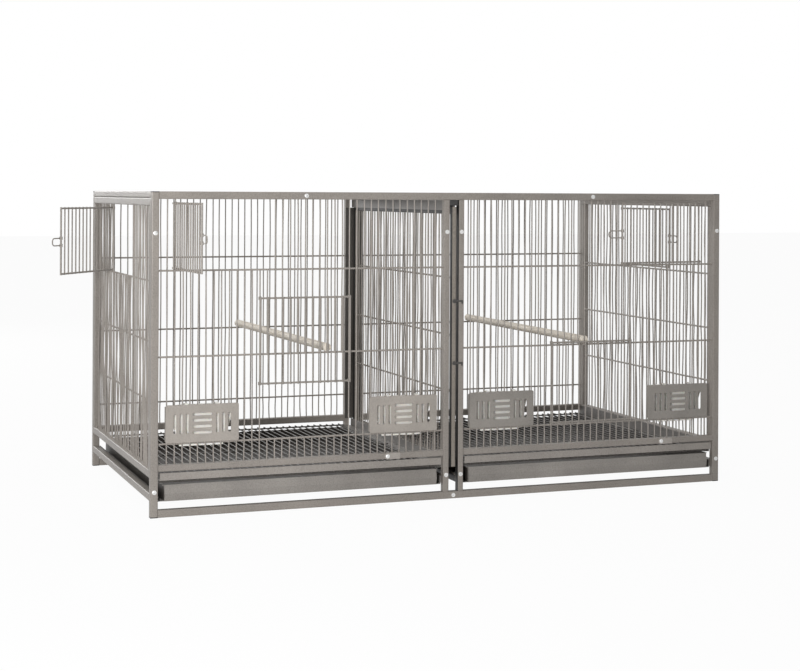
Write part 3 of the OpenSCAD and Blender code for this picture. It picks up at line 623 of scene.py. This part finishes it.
plug_plastic = moulded_plastic("plug_plastic", (0.035, 0.034, 0.033), roughness=0.55,
                               grain_scale=1800.0, grain_bump=0.4, mottle=0.82)
coat_nodes(plug_plastic, "post_plugs")


# Trim of the divider's slot: a pressed steel strip closes it at the back, welded to the
# two slim posts, and a black plastic stop fills the slot's head above the divider. The strip's
# near-black coat is painted shade for the depth of the slot.
def extruded(name, outline, low_z, high_z, material):
    """A piece of one outline (x, y), drawn up from low_z to high_z."""
    count = len(outline)
    points = [(x, y, z) for z in (low_z, high_z) for x, y in outline]
    faces = [(k, (k + 1) % count, count + (k + 1) % count, count + k) for k in range(count)]
    faces += [tuple(range(count - 1, -1, -1)), tuple(range(count, 2 * count))]
    mesh = bpy.data.meshes.new(name)
    mesh.from_pydata(points, [], faces)
    mesh.materials.append(material)
    made = bpy.data.objects.new(name, mesh)
    bpy.context.collection.objects.link(made)
    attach(made, "cage")
    return made


# painted shade: the back strip's near-black coat stands for the shade deep in the slot
slot_sheet_shade_coat = powder_coat("slot_sheet_shade_coat", (0.13, 0.12, 0.108), (0.075, 0.069, 0.062),
                              bump=0.2)
STRIP_FOOT = 0.0666
STRIP_HEAD = 0.478
STRIP_FRONT = ((0.018, 0.5058), (0.0072, 0.5058), (0.0062, 0.5046))
STRIP_BACK = ((0.0059, 0.5058), (0.0069, 0.507), (0.018, 0.507))
strip_outline = ([(-x, y) for x, y in STRIP_FRONT] + list(reversed(STRIP_FRONT))
                 + list(reversed(STRIP_BACK)) + [(-x, y) for x, y in STRIP_BACK])
extruded("slot_back_strip", strip_outline, STRIP_FOOT, STRIP_HEAD, slot_sheet_shade_coat)
STOP_FOOT = 0.4866
STOP_HEAD = 0.496
STOP_HALF = ((0.0078, -0.0035), (0.0078, 0.0052), (0.0066, 0.0058))
stop_outline = ([(0.0058, -0.005)] + list(STOP_HALF) + [(-x, y) for x, y in reversed(STOP_HALF)]
                + [(-0.0058, -0.005)])
extruded("slot_head_stop", stop_outline, STOP_FOOT, STOP_HEAD, plug_plastic)


# Screws and rivets: zinc-bright steel heads, which stand out as white dots on the grey
# frame. The screws are pan heads with a cross recess.
def bright_head(name, colour, roughness):
    material, output = new_material(name)
    tree = material.node_tree
    shader = tree.nodes.new("ShaderNodeBsdfPrincipled")
    shader.inputs["Metallic"].default_value = 0.35
    place = tree.nodes.new("ShaderNodeTexCoord")
    scuff = tree.nodes.new("ShaderNodeTexNoise")
    scuff.inputs["Scale"].default_value = 700.0
    scuff.inputs["Detail"].default_value = 5.0
    tree.links.new(place.outputs["Object"], scuff.inputs["Vector"])
    duller = tuple(0.8 * c for c in colour)
    tone = mix_colour(tree, scuff.outputs[0], (*colour, 1.0), (*duller, 1.0))
    tree.links.new(tone, shader.inputs["Base Color"])
    rough = math_node(tree, "ADD", math_node(tree, "MULTIPLY", scuff.outputs[0], 0.25),
                      roughness - 0.12, clamp=True)
    tree.links.new(rough, shader.inputs["Roughness"])
    relief = tree.nodes.new("ShaderNodeBump")
    relief.inputs["Strength"].default_value = 0.15
    relief.inputs["Distance"].default_value = 0.0002
    tree.links.new(scuff.outputs[0], relief.inputs["Height"])
    tree.links.new(relief.outputs["Normal"], shader.inputs["Normal"])
    tree.links.new(shader.outputs[0], output.inputs["Surface"])
    return material


HEAD_R = 0.0035
HEAD_H = 0.0021
HEAD_SIDES = 36
HEAD_RINGS = (0.0, 0.1, 0.18, 0.26, 0.34, 0.42, 0.5, 0.58, 0.68, 0.78, 0.88, 0.96, 1.0)
DOME_FALL = 0.28
RIM_FROM = 0.97
RIM_SHARE = 0.62
CROSS_HALF = 0.13
CROSS_REACH = 0.52
CROSS_DEPTH = 0.0011


def pan_height(share, turn):
    """Height of a pan head at a share of its radius; the cross recess is cut into it."""
    height = HEAD_H * ((1.0 - DOME_FALL * share * share) if share < RIM_FROM else RIM_SHARE)
    narrow, wide = sorted((abs(share * math.cos(turn)), abs(share * math.sin(turn))))
    if narrow < CROSS_HALF and wide < CROSS_REACH:
        height -= CROSS_DEPTH
    return height


def pan_heads(name, places, material):
    """Heads of all the frame screws, each turned as its driver left it."""
    points = []
    faces = []
    chance = random.Random(41)
    for x, y, z, facing in places:
        base = len(points)
        tilt = chance.uniform(0.0, math.pi / 2.0)
        for share in HEAD_RINGS + (1.0,):
            foot = len(points) - base >= len(HEAD_RINGS) * HEAD_SIDES
            for k in range(HEAD_SIDES):
                turn = 2.0 * math.pi * k / HEAD_SIDES
                height = 0.0 if foot else pan_height(share, turn)
                points.append((x + HEAD_R * share * math.cos(turn + tilt), y + facing * height,
                               z - facing * HEAD_R * share * math.sin(turn + tilt)))
        for ring in range(len(HEAD_RINGS)):
            low = base + ring * HEAD_SIDES
            high = low + HEAD_SIDES
            for k in range(HEAD_SIDES):
                after = (k + 1) % HEAD_SIDES
                faces.append((low + k, high + k, high + after, low + after))
    mesh = bpy.data.meshes.new(name)
    mesh.from_pydata(points, [], faces)
    mesh.validate()
    mesh.shade_smooth()
    mesh.set_sharp_from_angle(angle=math.radians(35.0))
    mesh.materials.append(material)
    heads = bpy.data.objects.new(name, mesh)
    bpy.context.collection.objects.link(heads)
    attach(heads, "cage")
    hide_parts("frame_screws")


screw_steel = bright_head("screw_steel", (0.92, 0.92, 0.91), 0.35)
FRONT_FACE = -0.006
BACK_FACE = 0.519
HALF_SCREWS = ((0.502, 0.04), (0.502, 0.443), (0.013, 0.04), (0.013, 0.443), (0.257, 0.502))
screws_xz = [(side * x, z) for side in (-1, 1) for x, z in HALF_SCREWS] + [(0.0, 0.006)]
pan_heads("screw_heads", [(x, FRONT_FACE, z, -1.0) for x, z in screws_xz]
          + [(x, BACK_FACE, z, 1.0) for x, z in screws_xz], screw_steel)
coat_nodes(screw_steel, "latch_rivets")


# Pull-out trays: one folded sheet each, with a bent front to pull on. The pan is coated
# inside and out, and darkened inside with painted shade.
def paint_pan_shade(material, start_y, depth):
    """Darkens a coat behind start_y with painted shade, in patches, inside the pan under the
    grate.
    """
    tree = material.node_tree
    shader = tree.nodes["Principled BSDF"]
    clean = shader.inputs["Base Color"].links[0].from_socket
    place = tree.nodes.new("ShaderNodeTexCoord")
    split = tree.nodes.new("ShaderNodeSeparateXYZ")
    tree.links.new(place.outputs["Object"], split.inputs[0])
    shade_patches = tree.nodes.new("ShaderNodeTexNoise")
    shade_patches.inputs["Scale"].default_value = 22.0
    shade_patches.inputs["Detail"].default_value = 5.0
    tree.links.new(place.outputs["Object"], shade_patches.inputs["Vector"])
    behind = math_node(tree, "MULTIPLY", math_node(tree, "SUBTRACT", split.outputs["Y"], start_y),
                       900.0, clamp=True)
    patchy = math_node(tree, "ADD", math_node(tree, "MULTIPLY", shade_patches.outputs[0], 0.2), depth,
                       clamp=True)
    # painted shade: near-black mixed in behind the pan's front wall
    pan_shaded = mix_colour(tree, math_node(tree, "MULTIPLY", behind, patchy), clean,
                        (0.035, 0.03, 0.025, 1.0))
    tree.links.new(pan_shaded, shader.inputs["Base Color"])


tray_coat = powder_coat("tray_coat", (0.37, 0.345, 0.318), (0.25, 0.232, 0.213), bump=0.2,
                        drift=0.2)
# painted shade inside both trays' pans
paint_pan_shade(tray_coat, start_y=0.0012, depth=0.8)
coat_nodes(tray_coat, "left_tray", "right_tray")


# Floor grates: the walls' welded wire, lying on five cross wires, with a folded steel strip
# across the front of each. The wire is coated much darker than the strip.
grate_coat = powder_coat("grate_coat", (0.135, 0.124, 0.113), (0.08, 0.073, 0.066),
                         fleck_scale=900.0, bump=0.15, dust=0.15)
GRATE_Z = 0.0565
GRATE_CROSS_Z = 0.0542
GRATE_FRONT = -0.0044
GRATE_BACK = 0.504
GRATE_ROWS = [0.004 + 0.1245 * k for k in range(5)]
GRATE_ENDS = (0.493, 0.021)
GRATE_STRAY = ((0.0004, 0.0001), (0.0006, 0.0002))


def grate_wires(name, side, node, chance):
    work = Wirework()
    for i in range(LAST_WIRE + 1):
        x = side * (FIRST_X - PITCH * i)
        path = strayed([GRATE_FRONT] + GRATE_ROWS + [GRATE_BACK], *GRATE_STRAY, chance)
        work.wire([Vector((x + p[1], p[0], GRATE_Z + p[2])) for p in path], THIN_WIRE)
        for row in GRATE_ROWS:
            work.weld((x, row, GRATE_Z - WELD_Y))
    for row in GRATE_ROWS:
        work.wire([Vector((side * x, row, GRATE_CROSS_Z)) for x in GRATE_ENDS], CROSS_WIRE)
    work.piece(name, grate_coat, node, node)


grate_wires("left_grate_wires", -1, "left_grate", random.Random(51))
grate_wires("right_grate_wires", 1, "right_grate", random.Random(52))
strip_coat = powder_coat("strip_coat", (0.42, 0.385, 0.352), (0.29, 0.265, 0.242), bump=0.2)
coat_nodes(strip_coat, "left_grate_strip", "right_grate_strip")


# Divider: a slim tube frame with its own wire panel, pulled out through the slot
# between the centre posts, and held by two small hooks.
divider_coat = powder_coat("divider_coat", (0.36, 0.32, 0.275), (0.22, 0.196, 0.168), bump=0.2)
# painted shade: the divider's side faces near its middle are turned near-black, as they lie in the
# slot's shade
paint_slot_shade(divider_coat, 0.0045)
coat_nodes(divider_coat, "divider_posts", "divider_rails")
divider_wire_coat = powder_coat("divider_wire_coat", (0.50, 0.455, 0.41), (0.31, 0.282, 0.254),
                                fleck_scale=900.0, bump=0.15, dust=0.15)
hook_coat = powder_coat("hook_coat", (0.10, 0.095, 0.09), (0.05, 0.047, 0.044), bump=0.15)
coat_nodes(hook_coat, "upper_divider_hook", "lower_divider_hook", "divider_hook_pins")

PANEL_X = -0.0008
PANEL_FIRST_Y = 0.0225
PANEL_ENDS = (0.005, 0.49)
PANEL_FOOT = 0.0647
PANEL_HEAD = 0.4725
PANEL_WELD_X = 0.45 * CROSS_SET
PANEL_STRAY = ((0.0006, 0.0003), (0.0007, 0.0011))
divider_chance = random.Random(61)
divider_work = Wirework()
for j in range(LAST_WIRE + 1):
    wire_y = PANEL_FIRST_Y + PITCH * j
    divider_path = strayed([PANEL_FOOT] + list(SIDE_ROWS) + [PANEL_HEAD], *PANEL_STRAY,
                           divider_chance)
    divider_work.wire([Vector((PANEL_X + p[2], wire_y + p[1], p[0])) for p in divider_path],
                      THIN_WIRE)
    for row in SIDE_ROWS:
        divider_work.weld((PANEL_X + PANEL_WELD_X, wire_y, row))
for row in SIDE_ROWS:
    divider_work.wire([Vector((PANEL_X + CROSS_SET, y, row)) for y in PANEL_ENDS], CROSS_WIRE)
divider_work.piece("divider_wires", divider_wire_coat, "divider_grille", "divider")


# Feeder plates: stamped sheet with seven slots, sliding up on the wires beside each
# feeder opening. The left pair has a paler coat than the frame; the right pair has that coat
# darkened as painted shade.
plate_coat = powder_coat("plate_coat", (0.48, 0.44, 0.398), (0.36, 0.328, 0.295), bump=0.2,
                         drift=0.2)
# painted shade: the left pair's plate coat, darkened for the right pair
right_plate_shaded_coat = powder_coat("right_plate_shaded_coat", (0.37, 0.342, 0.312), (0.27, 0.25, 0.228),
                               bump=0.2, drift=0.2)
coat_nodes(plate_coat, "feeder_plate_1", "feeder_plate_2")
coat_nodes(right_plate_shaded_coat, "feeder_plate_3", "feeder_plate_4")


# Feed cups: ivory moulded plastic, hung by two hooks inside each feeder opening. The plastic
# is almost opaque; light sinks less than a millimetre into it.
cup_plastic = moulded_plastic("cup_plastic", (0.97, 0.945, 0.89), roughness=0.38,
                              grain_scale=900.0, grain_bump=0.1, mottle=0.95)
cup_shader = cup_plastic.node_tree.nodes["Principled BSDF"]
cup_shader.inputs["Subsurface Weight"].default_value = 0.15
cup_shader.inputs["Subsurface Radius"].default_value = (1.0, 0.85, 0.6)
cup_shader.inputs["Subsurface Scale"].default_value = 0.0008
for number in range(1, 5):
    coat_nodes(cup_plastic, "feed_cup_%d" % number)


# Gates, doors and their latch loops: the walls' wire bent and welded, in the same coat. Eyes
# at their ends slide or turn on the walls' uprights.
door_coat = powder_coat("door_coat", (0.42, 0.385, 0.35), (0.28, 0.255, 0.23), fleck_scale=900.0,
                        bump=0.15, dust=0.15)


def rounded_wirework(node, material):
    """The node's own wires with round shading, and sharp only where they end or cross."""
    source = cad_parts[node]
    mesh = source.data.copy()
    mesh.name = node + "_round"
    mesh.shade_smooth()
    mesh.set_sharp_from_angle(angle=Wirework.CREASE)
    mesh.materials.clear()
    mesh.materials.append(material)
    made = bpy.data.objects.new(node + "_round", mesh)
    bpy.context.collection.objects.link(made)
    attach(made, node)
    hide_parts(node)


for side in ("left", "right"):
    rounded_wirework(side + "_gate", door_coat)
    rounded_wirework("front_" + side + "_door", door_coat)
    rounded_wirework(side + "_side_door", door_coat)
    rounded_wirework("front_" + side + "_loop", door_coat)
    rounded_wirework(side + "_side_loop", door_coat)


# Turning latches: small blades of coated sheet, each on a rivet through the floor rail. They
# are turned aside, clear of the grates.
latch_coat = powder_coat("latch_coat", (0.50, 0.46, 0.42), (0.38, 0.35, 0.32), bump=0.2)
coat_nodes(latch_coat, "left_turn_latch", "right_turn_latch")


# Perches: plain turned pine dowels, pale, with the grain running lengthways, sawn off and
# notched at their ends to hang on the wires.
def build_dowel_wood(name, pale, ring):
    material, output = new_material(name)
    tree = material.node_tree
    shader = tree.nodes.new("ShaderNodeBsdfPrincipled")
    place = tree.nodes.new("ShaderNodeTexCoord")
    stretch = tree.nodes.new("ShaderNodeMapping")
    stretch.inputs["Scale"].default_value = (1.0, 0.06, 1.0)
    tree.links.new(place.outputs["Object"], stretch.inputs["Vector"])
    rings = tree.nodes.new("ShaderNodeTexNoise")
    rings.inputs["Scale"].default_value = 260.0
    rings.inputs["Detail"].default_value = 5.0
    rings.inputs["Distortion"].default_value = 0.6
    tree.links.new(stretch.outputs[0], rings.inputs["Vector"])
    fibres = tree.nodes.new("ShaderNodeTexNoise")
    fibres.inputs["Scale"].default_value = 1600.0
    fibres.inputs["Detail"].default_value = 3.0
    tree.links.new(stretch.outputs[0], fibres.inputs["Vector"])
    streak = math_node(tree, "MULTIPLY", math_node(tree, "SUBTRACT", rings.outputs[0], 0.35),
                       2.4, clamp=True)
    tone = mix_colour(tree, streak, (*pale, 1.0), (*ring, 1.0))
    fine = mix_colour(tree, math_node(tree, "MULTIPLY", fibres.outputs[0], 0.35), tone,
                      (0.50, 0.38, 0.25, 1.0))
    tree.links.new(fine, shader.inputs["Base Color"])
    rough = math_node(tree, "ADD", math_node(tree, "MULTIPLY", rings.outputs[0], 0.2), 0.5)
    tree.links.new(rough, shader.inputs["Roughness"])
    relief = tree.nodes.new("ShaderNodeBump")
    relief.inputs["Strength"].default_value = 0.25
    relief.inputs["Distance"].default_value = 0.0003
    tree.links.new(fibres.outputs[0], relief.inputs["Height"])
    tree.links.new(relief.outputs["Normal"], shader.inputs["Normal"])
    tree.links.new(shader.outputs[0], output.inputs["Surface"])
    return material


dowel_wood = build_dowel_wood("dowel_wood", (0.95, 0.90, 0.81), (0.86, 0.78, 0.66))
coat_nodes(dowel_wood, "left_perch", "right_perch")
